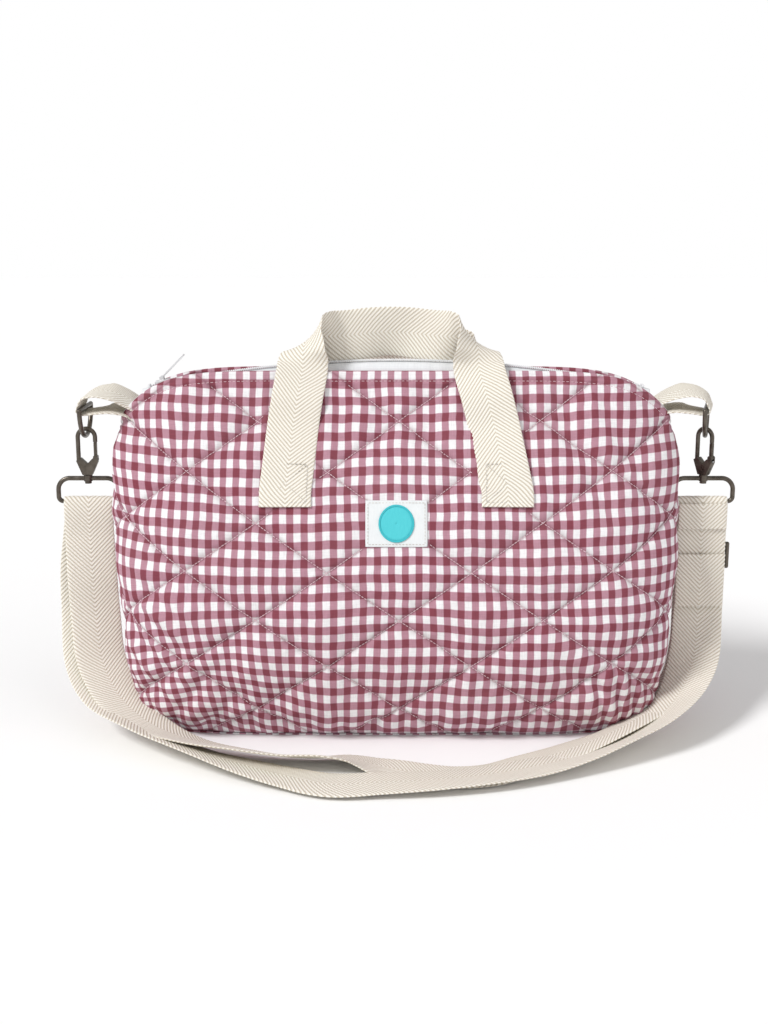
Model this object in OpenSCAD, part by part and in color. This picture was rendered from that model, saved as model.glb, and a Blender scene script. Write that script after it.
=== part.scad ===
// Quilted soft bag with a zip top, two webbing grab handles and a clip-on cross-body strap.
// Millimetres. The origin is the centre of the base on the floor, +Z is up, -Y is the front.

/* [Body] */
// Width across the widest part of the bag
body_w = 424; // [416:2:428]
// Height of the front edge of the zip opening
body_h = 271; // [266:1:276]
// Depth across the fullest part of the bag
body_d = 176; // [168:2:180]
// Thickness of the outer cloth
cloth_t = 1; // [0.8:0.1:1.2]
// Thickness of the quilt wadding
wadding_t = 3.4; // [3:0.1:4]

/* [Webbing] */
// Width of the webbing of handles, tabs and strap
web_w = 38; // [36:0.5:38.5]
// Thickness of the webbing
web_t = 2; // [1.6:0.1:2.2]
// Distance between the two legs of a handle
handle_span = 162; // [150:2:170]
// Height of the lower end of each handle leg
handle_low_z = 178; // [174:1:182]
// Height of the stitched part of each handle leg
handle_sewn_h = 30; // [26:1:30]
// How far in front of the bag's centre the strap lies on the floor
strap_reach = 166; // [160:1:180]

/* [Zip] */
// Radius of the arc that the zip runs along
zip_r = 900; // [850:10:1000]
// Height of the zip tape at the middle of the bag
zip_top_z = 276; // [275:0.5:278]
// Distance from the middle to the closed end of the zip
zip_half = 188; // [184:1:190]
// Length of the pull
pull_len = 24; // [20:1:25]
// Angle at which the pull stands up from the slider
pull_rest = 34; // [25:1:50]

/* [Hardware] */
// Radius of the wire of rings and eyes
wire_r = 1.8; // [1.6:0.1:1.9]
// Distance from the middle of the bag to each strap hook
hook_x = 237; // [236:0.5:240]
// Height of the straight bar of each D-ring
ring_bar_z = 241; // [239:0.5:243]
// Turn of the right D-ring about the vertical
right_ring_turn = -15; // [-20:1:0]
// Turn of the right hook on its swivel
right_hook_turn = -50; // [-55:1:0]

/* [Label] */
// Width of the sewn label
label_w = 45; // [40:1:50]
// Height of the sewn label
label_h = 32; // [28:1:34]
// Diameter of the round badge on the label
badge_d = 26; // [20:1:27]

/* [Hidden] */

// Colours of the cloths and metals
gingham_colour = [0.68, 0.38, 0.46];
web_colour = [0.93, 0.89, 0.8];
zip_colour = [0.93, 0.95, 0.96];
metal_colour = [0.36, 0.33, 0.3];
lining_colour = [0.95, 0.94, 0.92];

gap = 0.3;               // air between neighbouring layers
round_fn = 32;
fine_fn = 48;

// The body is a stack of rounded rectangles. Each profile runs from the base, 0, to the zip, 1.
width_profile = [[0, 0.89], [0.05, 0.935], [0.15, 0.95], [0.3, 0.955], [0.45, 0.96],
                 [0.6, 0.972], [0.7, 0.988], [0.8, 1], [0.9, 1], [1, 0.967]];
depth_profile = [[0, 0.7], [0.05, 0.86], [0.15, 0.955], [0.3, 1], [0.45, 0.955],
                 [0.6, 0.83], [0.7, 0.705], [0.8, 0.545], [0.9, 0.365], [1, 0.205]];
corner_low = 4.6;        // squareness of the plan outline at the base
corner_high = 3.4;       // squareness of the plan outline at the zip
shoulder_drop = 35;      // how far the top edge falls at the side seams
shoulder_power = 6;
shell_cols = 16;
front_foot_z = 1.5;      // the side walls start just above the base panel

// Insets of the three layers from the outside of the bag
layer_gap = 0.5;
wadding_in = cloth_t + layer_gap;
lining_in = wadding_in + wadding_t + layer_gap;
lining_t = 0.8;
base_wadding_z = cloth_t + gap;
base_lining_z = base_wadding_z + wadding_t + gap;

function half_width(v) = body_w / 2 * lookup(v, width_profile);
function half_depth(v) = body_d / 2 * lookup(v, depth_profile);
function squareness(v) = corner_low + (corner_high - corner_low) * v;
function top_z(x) = body_h - shoulder_drop * pow(min(1, abs(x) / half_width(1)), shoulder_power);
// Position up the wall for a height at the middle of the bag
function level(z) = (z - front_foot_z) / (body_h - front_foot_z);
// All three layers share these levels, so their facets lie side by side
lining_foot_z = base_lining_z + lining_t + gap;
wall_levels = [0, level(base_lining_z), level(lining_foot_z),
               for (p = width_profile) if (p[0] > 0) p[0]];
// Depth of the front surface in front of the middle plane
function front_y(z) = -half_depth(level(z));

function sgn_pow(a, e) = sign(a) * pow(abs(a), e);
// A point of the front wall: turn runs from 0 at the right seam to 180 at the left one
function wall_point(v, turn, inset) =
    let (e = 2 / squareness(v),
         x = (half_width(v) - inset) * sgn_pow(cos(turn), e),
         y = -(half_depth(v) - inset) * pow(abs(sin(turn)), e) - gap / 2)
    [x, y, front_foot_z + v * (top_z(x) - front_foot_z)];

// A closed shell from the wall points of an outer and an inner inset, starting at a height
module wall(outer, inner, low_z) {
    rows = [for (v = wall_levels) if (v >= level(low_z)) v];
    n = shell_cols + 1;
    count = len(rows) * n;
    points = [for (inset = [outer, inner], v = rows, c = [0:shell_cols])
              wall_point(v, 180 * c / shell_cols, inset)];
    function quad(a, b, c, d) = [[a, b, c], [a, c, d]];
    faces = [
        for (r = [0:len(rows) - 2], c = [0:shell_cols - 1])
            each quad(r * n + c, r * n + c + 1, (r + 1) * n + c + 1, (r + 1) * n + c),
        for (r = [0:len(rows) - 2], c = [0:shell_cols - 1])
            each quad(count + r * n + c, count + (r + 1) * n + c,
                      count + (r + 1) * n + c + 1, count + r * n + c + 1),
        for (c = [0:shell_cols - 1])
            each quad(c, count + c, count + c + 1, c + 1),
        for (c = [0:shell_cols - 1])
            let (t = (len(rows) - 1) * n + c)
            each quad(t, t + 1, count + t + 1, count + t),
        for (r = [0:len(rows) - 2])
            let (a = r * n, b = (r + 1) * n)
            each quad(a, b, count + b, count + a),
        for (r = [0:len(rows) - 2])
            let (a = r * n + shell_cols, b = (r + 1) * n + shell_cols)
            each quad(a, count + a, count + b, b)
    ];
    polyhedron(points, faces, convexity = 6);
}

// A flat plate with the outline of the base, smaller by an inset
module base_plate(inset, low, high) {
    e = 2 / corner_low;
    a = half_width(0) - inset;
    b = half_depth(0) - inset;
    outline = [for (k = [0:2 * shell_cols - 1])
               let (t = 180 * k / shell_cols)
               [a * sgn_pow(cos(t), e), b * sgn_pow(sin(t), e)]];
    translate([0, 0, low]) linear_extrude(high - low) polygon(outline);
}

module front_panel() { color(gingham_colour) wall(0, cloth_t, front_foot_z); }
module back_panel() { color(gingham_colour) mirror([0, 1, 0]) wall(0, cloth_t, front_foot_z); }
module base_panel() { color(gingham_colour) base_plate(0, 0, cloth_t); }
module front_wadding() {
    color("white") wall(wadding_in, wadding_in + wadding_t, base_lining_z);
}
module back_wadding() { mirror([0, 1, 0]) front_wadding(); }
module base_wadding() {
    color("white") base_plate(wadding_in, base_wadding_z + gap, base_wadding_z + wadding_t);
}
module front_lining() {
    color(lining_colour) wall(lining_in, lining_in + lining_t, lining_foot_z);
}
module back_lining() { mirror([0, 1, 0]) front_lining(); }
module base_lining() {
    color(lining_colour) base_plate(lining_in, base_lining_z, base_lining_z + lining_t);
}

// --- Webbing -------------------------------------------------------------------------------

function unit(v) = v / norm(v);
function spline(a, b, c, d, t) =
    0.5 * (2 * b + (c - a) * t + (2 * a - 5 * b + 4 * c - d) * t * t
           + (3 * b - a - 3 * c + d) * t * t * t);
// A smooth row of points through the stations, with some steps in each stretch
function smooth(stations, steps) =
    let (last = len(stations) - 1)
    [for (i = [0:last - 1], k = [0:steps - 1])
        spline(stations[max(i - 1, 0)], stations[i], stations[i + 1],
               stations[min(i + 2, last)], k / steps),
     stations[last]];

// A band that follows a path. Widths hold the direction across the band at each point of the
// path, and shifts move the band off the path, along its normal.
module band(path, widths, thickness, shifts) {
    last = len(path) - 1;
    points = [for (i = [0:last])
        let (t = unit(path[min(i + 1, last)] - path[max(i - 1, 0)]),
             nrm = unit(cross(t, widths[i])),
             w = cross(nrm, t) * web_w / 2,
             mid = path[i] + nrm * shifts[i],
             h = nrm * thickness / 2)
        each [mid - w - h, mid + w - h, mid + w + h, mid - w + h]];
    faces = [
        [0, 1, 2], [0, 2, 3],
        for (i = [0:last - 1], k = [0:3])
            let (a = 4 * i + k, b = 4 * i + (k + 1) % 4)
            each [[a, a + 4, b + 4], [a, b + 4, b]],
        [4 * last + 3, 4 * last + 2, 4 * last + 1], [4 * last + 3, 4 * last + 1, 4 * last]
    ];
    polyhedron(points, faces, convexity = 8);
}

function mirror_x(p) = [-p[0], p[1], p[2]];
function with_mirror(half) = [each half, for (i = [len(half) - 2:-1:0]) mirror_x(half[i])];

web_air = 1.2;                       // between webbing and the cloth it lies on
fold_z = handle_low_z + handle_sewn_h + 1;
leg_x = handle_span / 2;
leg_lean = 0.1;                      // the legs lean inward as they rise
function leg_y(z) = front_y(z) - web_air - web_t / 2;
// The fold line lies on the outside of the webbing, so a folded handle clears its sewn ends
fold_y = leg_y(fold_z) - web_t / 2 - 0.9;

// Left half of the front handle, from the fold line over the zip to the middle of the arch
front_stations = [
    [-leg_x + leg_lean * 2, leg_y(fold_z + 2), fold_z + 2],
    [-leg_x + 3, leg_y(fold_z + 16), fold_z + 16],
    [-leg_x + 6, leg_y(244) - 1, 244],
    [-leg_x + 8, -21, 272],
    [-leg_x + 9.5, -13, 292],
    [-leg_x + 13, 2, 303],
    [-leg_x + 27, 16, 301],
    [-leg_x + 50, 21, 297],
    [0, 22, 296]
];
front_widths = [
    [1, 0, -0.1], [1, 0, -0.1], [1, 0, -0.05], [1, 0, 0], [0.97, -0.08, 0.2],
    [0.84, -0.22, 0.5], [0.42, -0.35, 0.84], [0.08, -0.25, 0.97], [0, -0.2, 0.98]
];
// Left half of the back handle, which leans back
back_stations = [
    [-leg_x + leg_lean * 2, -leg_y(fold_z + 2), fold_z + 2],
    [-leg_x + 1, -leg_y(fold_z + 16), fold_z + 16],
    [-leg_x + 1, -leg_y(244) + 1, 244],
    [-leg_x + 2, 34, 264],
    [-leg_x + 5, 42, 283],
    [-leg_x + 12, 55, 292],
    [-leg_x + 27, 64, 290],
    [-leg_x + 50, 67, 286],
    [0, 68, 285]
];
handle_steps = 2;

module handle_band(stations, widths) {
    path = smooth(with_mirror(stations), handle_steps);
    across = smooth(with_mirror(widths), handle_steps);
    band(path, across, web_t, [for (p = path) 0]);
}
module front_handle() { color(web_colour) handle_band(front_stations, front_widths); }
module back_handle() { color(web_colour) handle_band(back_stations, front_widths); }

// The flat lower ends of the two legs, sewn to the panel
module front_handle_ends() {
    top = handle_low_z + handle_sewn_h;
    mid = body_h * 0.7;
    color(web_colour)
    for (side = [-1, 1])
        band([for (z = [handle_low_z, mid, top]) [side * leg_x, leg_y(z), z]],
             [for (k = [0:2]) [1, 0, 0]], web_t, [0, 0, 0]);
}
module back_handle_ends() { mirror([0, 1, 0]) front_handle_ends(); }

// --- Strap ---------------------------------------------------------------------------------

contact_z = ring_bar_z - 21.5;       // lowest point of the wire of the D-ring
hook_play = 1.6;                     // air between the hook's bow and the D-ring
bow_r = 6.6;                         // centre radius of the hook's bow
bow_wire_r = 1.7;
bow_z = contact_z + wire_r + hook_play + bow_wire_r - bow_r;
eye_top_z = contact_z - 33.5;        // upper bar of the swivel eye
eye_h = 18;                          // between the eye's two bars
eye_low_z = eye_top_z - eye_h;
loop_r = wire_r + 0.4;               // inside radius of the strap's loop
layer_shift = loop_r + web_t / 2;    // from the strap's middle to each layer, on the straight

strap_floor_z = web_t + gap + 0.3;
straight_z = 78;                     // the strap hangs straight above this height
straight_end = 9;                    // a short stretch that keeps the bend below it
// Left half of the middle line of the doubled strap
strap_stations = [
    [-hook_x, 0, eye_low_z - 0.01], [-hook_x, 0, (eye_low_z + straight_z) / 2],
    [-hook_x, 0, straight_z + straight_end], [-hook_x, 0, straight_z],
    [-hook_x + 4, -17, 50], [-hook_x + 17, -48, 29],
    [-190, -87, 15], [-140, -strap_reach + 44, 6],
    [-78, -strap_reach + 15, strap_floor_z], [0, -strap_reach, strap_floor_z]
];
strap_widths = [
    [1, 0, 0], [1, 0, 0], [1, 0, 0], [1, 0, 0], [0.98, 0.18, 0.05], [0.86, 0.48, 0.12],
    [0.68, 0.7, 0.16], [0.45, 0.88, 0.08], [0.2, 0.98, 0], [0, 1, 0]
];
strap_shifts = [
    layer_shift, layer_shift, layer_shift, layer_shift, layer_shift - 0.5, web_t / 2 + 0.8,
    web_t / 2 + 0.3, gap / 2 + web_t / 2, gap / 2 + web_t / 2, gap / 2 + web_t / 2
];
strap_steps = 2;

// Half a ring of webbing over the bar of an eye
module strap_loop(x) {
    out_r = loop_r + web_t;
    translate([x - web_w / 2, 0, eye_low_z]) rotate([90, 0, 90])
    linear_extrude(web_w) difference() {
        circle(r = out_r, $fn = fine_fn);
        circle(r = loop_r, $fn = fine_fn);
        translate([-2 * out_r, -2 * out_r - 0.01]) square([4 * out_r, 2 * out_r]);
    }
}

module strap() {
    path = smooth(with_mirror(strap_stations), strap_steps);
    across = smooth(with_mirror(strap_widths), strap_steps);
    shifts = smooth([each strap_shifts,
                     for (i = [len(strap_shifts) - 2:-1:0]) strap_shifts[i]], strap_steps);
    color(web_colour)
    for (side = [-1, 1]) {
        band(path, across, web_t, shifts * side);
        strap_loop(side * hook_x);
    }
}

// --- Zip -----------------------------------------------------------------------------------

arc_z = zip_top_z - zip_r;           // height of the middle of the zip's arc
end_turn = asin(zip_half / zip_r);
tape_half_w = 9;
tape_t = 0.6;
coil_w = 3;
coil_h = 1.8;
zip_mid_gap = 0.35;                  // half the gap between the two rows of teeth

// A band along the zip's arc, between two turns from the vertical, positive to the right
module arc_band(low, high, y0, y1, from, to) {
    translate([0, 0, arc_z]) rotate([90, 0, 0]) rotate([0, 0, 90 - to])
    rotate_extrude(angle = to - from, $fn = 360)
    translate([zip_r + low, -y1]) square([high - low, y1 - y0]);
}
module front_zip_tape() {
    color(zip_colour) arc_band(0, tape_t, -tape_half_w, -zip_mid_gap, -end_turn, end_turn);
}
module back_zip_tape() {
    color(zip_colour) arc_band(0, tape_t, zip_mid_gap, tape_half_w, -end_turn, end_turn);
}
coil_low = tape_t + 0.02;
module front_zip_coil() {
    color("white") arc_band(coil_low, coil_low + coil_h, -zip_mid_gap - coil_w, -zip_mid_gap,
                            -end_turn + stop_turn, end_turn - stop_turn);
}
module back_zip_coil() {
    color("white") arc_band(coil_low, coil_low + coil_h, zip_mid_gap, zip_mid_gap + coil_w,
                            -end_turn + stop_turn, end_turn - stop_turn);
}
// Crimped stops at both ends of the teeth
stop_turn = 0.16;
module zip_stops() {
    color("white")
    for (side = [-1, 1])
        arc_band(coil_low, coil_low + coil_h, -3.4, 3.4,
                 side * end_turn - (side > 0 ? stop_turn - 0.03 : 0),
                 side * end_turn + (side > 0 ? 0 : stop_turn - 0.03));
}

slider_len = 11;
slider_half_w = 4.3;
slider_roof = coil_low + coil_h + 0.3;
slider_t = 1;
pin_h = slider_roof + slider_t + 1.7;    // height of the pull's pin above the arc
pull_pin_r = 0.8;
slider_turn = -end_turn + 0.75;
module on_slider() {
    translate([0, 0, arc_z]) rotate([0, slider_turn, 0]) translate([0, 0, zip_r]) children();
}
module box(x0, x1, y0, y1, z0, z1) {
    translate([x0, y0, z0]) cube([x1 - x0, y1 - y0, z1 - z0]);
}
module zip_slider() {
    h = slider_len / 2;
    color(zip_colour) on_slider() {
        box(-h, h, -slider_half_w, slider_half_w, slider_roof, slider_roof + slider_t);
        box(-h, h, -slider_half_w, slider_half_w, -1.3, -0.3);
        box(-1.5, 1.5, -0.2, 0.2, -0.8, slider_roof + 0.5);
        for (side = [-1, 1]) {
            box(-h, h, side > 0 ? 3.7 : -slider_half_w, side > 0 ? slider_half_w : -3.7,
                tape_t + 0.25, slider_roof + 0.5);
            box(-1.6, 1.6, side > 0 ? 2.1 : -3.1, side > 0 ? 3.1 : -2.1,
                slider_roof + 0.5, pin_h + 1.2);
        }
        translate([0, 0, pin_h]) rotate([90, 0, 0])
        cylinder(r = pull_pin_r, h = 5, center = true, $fn = round_fn);
    }
}
module zip_pull() {
    color(zip_colour) on_slider() translate([0, 0, pin_h]) rotate([0, -pull_rest, 0])
    rotate([90, 0, 0]) difference() {
        union() {
            cylinder(r = 1.45, h = 3.8, center = true, $fn = round_fn);
            translate([3, 0, 0]) cube([5, 1.1, 3.6], center = true);
            translate([pull_len / 2 + 2.5, 0, 0])
            cube([pull_len - 5, 1.2, 6.4], center = true);
            translate([pull_len - 2.4, 0, 0]) rotate([90, 0, 0])
            cylinder(r = 3.2, h = 1.2, center = true, $fn = round_fn);
        }
        cylinder(r = pull_pin_r + 0.08, h = 10, center = true, $fn = round_fn);
        translate([pull_len - 2.4, 0, 0]) rotate([90, 0, 0])
        cylinder(r = 1.3, h = 5, center = true, $fn = round_fn);
    }
}

// --- Label ---------------------------------------------------------------------------------

label_z = 0.6 * body_h;              // the label lies on this level's edge of the panel
label_tilt = 18.5;
module on_label(out) {
    translate([0, front_y(label_z), label_z]) rotate([-label_tilt, 0, 0])
    translate([0, -out, 4]) rotate([90, 0, 0]) children();
}
module label_patch() {
    color(web_colour) on_label(0.7)
    linear_extrude(0.8) square([label_w, label_h], center = true);
}
module label_badge() {
    color([0.24, 0.74, 0.76]) on_label(1.55) cylinder(d = badge_d, h = 0.5, $fn = 64);
}

// --- Side tabs and D-rings -----------------------------------------------------------------

ring_r = 21.5;                       // centre radius of the D-ring's bow
tab_root_x = 202;
tab_root_z = 247.5;
bar_air = 0.25;

fold_steps = 16;                     // flats round the webbing's fold

// A webbing tab folded round the bar of the D-ring
module tab(side, turn) {
    inner_r = wire_r + bar_air;
    out_r = inner_r + web_t;
    run = hook_x - tab_root_x;
    rise = tab_root_z - ring_bar_z;
    far = norm([run, rise]);
    fold = [for (i = [0 : fold_steps]) let (a = 90 + 180 * i / fold_steps)
            [out_r * cos(a), out_r * sin(a)]];
    color(web_colour)
    translate([side * hook_x, 0, ring_bar_z]) rotate([0, 0, turn])
    rotate([90, 0, 0]) mirror([side > 0 ? 1 : 0, 0, 0]) difference() {
        linear_extrude(web_w, center = true) rotate(atan2(rise, run))
        polygon(concat(fold, [[far, -web_t], [far, web_t]]));
        cylinder(r = inner_r, h = web_w + 2, center = true, $fn = fine_fn);
    }
}
module left_tab() { tab(-1, 0); }
module right_tab() { tab(1, right_ring_turn); }

module d_ring(side, turn) {
    color(metal_colour)
    translate([side * hook_x, 0, ring_bar_z]) rotate([0, 0, turn]) rotate([0, 90, 0]) {
        rotate([0, 0, -90]) rotate_extrude(angle = 180, $fn = fine_fn)
        translate([ring_r, 0]) circle(r = wire_r, $fn = round_fn);
        rotate([90, 0, 0]) cylinder(r = wire_r, h = 2 * ring_r, center = true, $fn = round_fn);
        for (end = [-1, 1]) translate([0, end * ring_r, 0]) sphere(r = wire_r, $fn = round_fn);
    }
}
module left_d_ring() { d_ring(-1, 0); }
module right_d_ring() { d_ring(1, right_ring_turn); }

// --- Swivel hooks --------------------------------------------------------------------------
// Each hook is drawn in its own plane, with x across, z up and its swivel axis at x = 0.

leg_low_z = bow_z - 17;              // where the hook's legs join its body
body_top_w = 13.5;
body_low_w = 7.6;
body_low_z = eye_top_z + 2.9;
hook_t = 5;
gate_pin_z = leg_low_z + 1.6;
gate_pin_r = 0.7;
gate_top_z = leg_low_z + 13.2;
gate_t = 2.6;
stem_r = 1.5;
collar_r = 3.4;
collar_h = 4.6;
head_r = 2.6;
side_gap = 0.3;

module at_hook(side, turn) {
    translate([side * hook_x, 0, 0]) rotate([0, 0, turn]) children();
}
module rod(a, b, r) {
    d = b - a;
    translate(a) rotate([0, acos(d[2] / norm(d)), atan2(d[1], d[0])])
    cylinder(r = r, h = norm(d), $fn = round_fn);
}
module hook() {
    difference() {
        union() {
            translate([0, 0, bow_z]) rotate([90, 0, 0])
            rotate_extrude(angle = 180, $fn = fine_fn)
            translate([bow_r, 0]) circle(r = bow_wire_r, $fn = round_fn);
            rod([-bow_r, 0, leg_low_z - 2], [-bow_r, 0, bow_z], bow_wire_r);
            rod([bow_r, 0, gate_top_z + side_gap], [bow_r, 0, bow_z], bow_wire_r);
            rotate([90, 0, 0]) linear_extrude(hook_t, center = true)
            polygon([[-body_top_w / 2 - 1.5, leg_low_z - 1], [-body_top_w / 2 + 2, leg_low_z + 1],
                     [0, leg_low_z - 3.5], [4, leg_low_z + 0.5], [8.4, leg_low_z + 1],
                     [8.4, leg_low_z - 2], [body_low_w / 2, body_low_z],
                     [-body_low_w / 2, body_low_z]]);
            rotate([90, 0, 0]) translate([bow_r, gate_pin_z, 0])
            cylinder(r = 1.8, h = hook_t, center = true, $fn = round_fn);
            translate([0, 0, body_low_z - collar_h - 0.9])
            cylinder(r = stem_r, h = collar_h + 3, $fn = round_fn);
            translate([0, 0, body_low_z - collar_h - 2.2])
            cylinder(r = head_r, h = 1.5, $fn = round_fn);
        }
        // Slot for the gate's foot, and the hole for its pin
        translate([bow_r - 2.3, -gate_t / 2 - side_gap, gate_pin_z - 3.4])
        cube([8, gate_t + 2 * side_gap, 12]);
        translate([bow_r, 0, gate_pin_z]) rotate([90, 0, 0])
        cylinder(r = gate_pin_r + 0.05, h = 12, center = true, $fn = round_fn);
    }
}
module gate() {
    difference() {
        union() {
            translate([bow_r, 0, gate_pin_z]) rotate([90, 0, 0])
            cylinder(r = 1.7, h = gate_t, center = true, $fn = round_fn);
            translate([bow_r - 1.2, -gate_t / 2, gate_pin_z])
            cube([2.4, gate_t, gate_top_z - gate_pin_z]);
        }
        translate([bow_r, 0, gate_pin_z]) rotate([90, 0, 0])
        cylinder(r = gate_pin_r + 0.06, h = 12, center = true, $fn = round_fn);
    }
}
module gate_pin() {
    translate([bow_r, 0, gate_pin_z]) rotate([90, 0, 0])
    cylinder(r = gate_pin_r, h = hook_t, center = true, $fn = round_fn);
}
// A leaf of spring steel that presses the gate shut
module gate_spring() {
    translate([bow_r + 1.9, -0.9, gate_pin_z - 3.1]) cube([0.25, 1.8, 0.9]);
}
module swivel_eye() {
    half = ring_r + wire_r;
    top_corner = 9;
    low_corner = 3.5;
    difference() {
        union() {
            rod([-half + top_corner, 0, eye_top_z], [half - top_corner, 0, eye_top_z], wire_r);
            rod([-half + low_corner, 0, eye_low_z], [half - low_corner, 0, eye_low_z], wire_r);
            for (side = [0, 1]) mirror([side, 0, 0]) {
                translate([half - top_corner, 0, eye_top_z - top_corner]) rotate([90, 0, 0])
                rotate_extrude(angle = 90, $fn = fine_fn)
                translate([top_corner, 0]) circle(r = wire_r, $fn = round_fn);
                translate([half - low_corner, 0, eye_low_z + low_corner])
                rotate([90, 0, 0]) rotate([0, 0, -90])
                rotate_extrude(angle = 90, $fn = fine_fn)
                translate([low_corner, 0]) circle(r = wire_r, $fn = round_fn);
                rod([half, 0, eye_low_z + low_corner], [half, 0, eye_top_z - top_corner],
                    wire_r);
            }
            translate([0, 0, body_low_z - collar_h - side_gap])
            cylinder(r = collar_r, h = collar_h, $fn = round_fn);
        }
        translate([0, 0, eye_top_z - 8])
        cylinder(r = stem_r + 0.08, h = 16, $fn = round_fn);
    }
}
module left_hook() { color(metal_colour) at_hook(-1, 0) hook(); }
module right_hook() { color(metal_colour) at_hook(1, right_hook_turn) hook(); }
module left_gate() { color(metal_colour) at_hook(-1, 0) gate(); }
module right_gate() { color(metal_colour) at_hook(1, right_hook_turn) gate(); }
module left_gate_pin() { color("silver") at_hook(-1, 0) gate_pin(); }
module right_gate_pin() { color("silver") at_hook(1, right_hook_turn) gate_pin(); }
module left_gate_spring() { color("silver") at_hook(-1, 0) gate_spring(); }
module right_gate_spring() { color("silver") at_hook(1, right_hook_turn) gate_spring(); }
module left_swivel_eye() { color(metal_colour) at_hook(-1, 0) swivel_eye(); }
module right_swivel_eye() { color(metal_colour) at_hook(1, 0) swivel_eye(); }

// --- Strap adjuster ------------------------------------------------------------------------

glide_z = 125;
glide_half_w = 21.4;
glide_half_h = 9;
glide_wire_r = 1.6;
module tri_glide() {
    color(metal_colour) translate([hook_x, 0, glide_z]) {
        for (z = [-glide_half_h, 0, glide_half_h])
            rod([-glide_half_w, 0, z], [glide_half_w, 0, z], glide_wire_r);
        for (x = [-glide_half_w, glide_half_w]) {
            rod([x, 0, -glide_half_h], [x, 0, glide_half_h], glide_wire_r);
            for (z = [-glide_half_h, glide_half_h])
                translate([x, 0, z]) sphere(r = glide_wire_r, $fn = round_fn);
        }
    }
}

front_panel();
back_panel();
base_panel();
front_wadding();
back_wadding();
base_wadding();
front_lining();
back_lining();
base_lining();
front_zip_tape();
back_zip_tape();
front_zip_coil();
back_zip_coil();
zip_stops();
zip_slider();
zip_pull();
label_patch();
label_badge();
front_handle_ends();
front_handle();
back_handle_ends();
back_handle();
left_tab();
right_tab();
left_d_ring();
right_d_ring();
left_hook();
right_hook();
left_gate();
right_gate();
left_gate_pin();
right_gate_pin();
left_gate_spring();
right_gate_spring();
left_swivel_eye();
right_swivel_eye();
strap();
tri_glide();
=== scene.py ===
import math

import bpy
import numpy as np
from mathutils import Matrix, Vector


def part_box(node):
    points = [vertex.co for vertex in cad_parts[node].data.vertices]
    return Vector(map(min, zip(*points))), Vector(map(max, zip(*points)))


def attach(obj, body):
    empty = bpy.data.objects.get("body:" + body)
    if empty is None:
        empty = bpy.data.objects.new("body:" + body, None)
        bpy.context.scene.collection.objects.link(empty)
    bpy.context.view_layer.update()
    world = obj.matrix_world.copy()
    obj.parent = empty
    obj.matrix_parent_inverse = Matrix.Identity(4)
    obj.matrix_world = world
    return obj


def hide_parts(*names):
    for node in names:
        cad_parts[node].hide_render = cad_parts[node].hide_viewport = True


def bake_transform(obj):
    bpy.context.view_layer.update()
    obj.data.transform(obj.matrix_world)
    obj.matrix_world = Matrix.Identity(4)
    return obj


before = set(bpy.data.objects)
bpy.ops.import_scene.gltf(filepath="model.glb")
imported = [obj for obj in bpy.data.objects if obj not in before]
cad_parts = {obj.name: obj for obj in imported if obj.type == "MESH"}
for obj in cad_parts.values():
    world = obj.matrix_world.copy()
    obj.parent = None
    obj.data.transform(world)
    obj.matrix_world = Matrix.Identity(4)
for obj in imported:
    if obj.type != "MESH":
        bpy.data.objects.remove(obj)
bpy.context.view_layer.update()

# --- Measures, in millimetres unless a name says otherwise ---

MM = 0.001
UV_PER_MM = 0.01
panel_low, panel_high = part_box("front_panel")
BODY_W = (panel_high.x - panel_low.x) / MM
BODY_H = panel_high.z / MM
BODY_D = -2 * panel_low.y / MM
FOOT_Z = panel_low.z / MM
handle_low, handle_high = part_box("front_handle_ends")
LEG_LOW_Z = handle_low.z / MM
LEG_SEWN_Z = handle_high.z / MM
WEB_W = 38
WEB_T = 2
LEG_X = handle_high.x / MM - WEB_W / 2
FOLD_Z = LEG_SEWN_Z + 1
eye_low, eye_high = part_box("left_swivel_eye")
RING_X = -(eye_low.x + eye_high.x) / 2 / MM
EYE_BAR_R = 1.8
EYE_LOW_Z = eye_low.z / MM + EYE_BAR_R
BAR_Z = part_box("left_d_ring")[1].z / MM - EYE_BAR_R
RIGHT_RING_TURN = -15

# The body is a stack of rounded rectangles. Each station is (level, share of the width,
# share of the depth); the level runs from the base, 0, to the zip, 1.
BODY_STATIONS = [
    (0, 0.90, 0.70), (0.05, 0.945, 0.86), (0.15, 0.965, 0.955), (0.3, 0.985, 1),
    (0.45, 1.0, 0.955), (0.6, 1.012, 0.83), (0.7, 1.018, 0.705), (0.8, 1.018, 0.545),
    (0.9, 1.012, 0.365), (1, 0.99, 0.205)
]
CORNER_LOW, CORNER_HIGH = 4.6, 3.4
SHOULDER_DROP, SHOULDER_POWER = 35, 8
COLUMNS = 340
LEVELS = np.concatenate([np.linspace(0, 0.96, 168), np.linspace(0.962, 1, 16)])
CLOTH_T = 1.0
HEM_R = 2.8
HEM_STITCH = 4.0
HEM_DROPS = (3, 7, 12)
# Nothing of a wall comes nearer to the middle plane or the floor than this
MIDDLE_GAP, FLOOR_GAP = 0.2, 1.2
EDGE_Z = BODY_H - HEM_R

# Quilting: two families of slanting rows of stitches
QUILT_ACROSS, QUILT_UP = 105, 70
QUILT_X, QUILT_Z = 2, 167
QUILT_SPACING = 1 / math.hypot(1 / QUILT_ACROSS, 1 / QUILT_UP)
# CREASE_W is the width of the painted shade and the dent beside each quilting line
CREASE_W = 1.2

# Zip: an arc in the middle plane
ZIP_R = 900
ZIP_TOP_Z = 276
ZIP_HALF = 188
ARC_Z = ZIP_TOP_Z - ZIP_R
END_TURN = math.degrees(math.asin(ZIP_HALF / ZIP_R))

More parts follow.
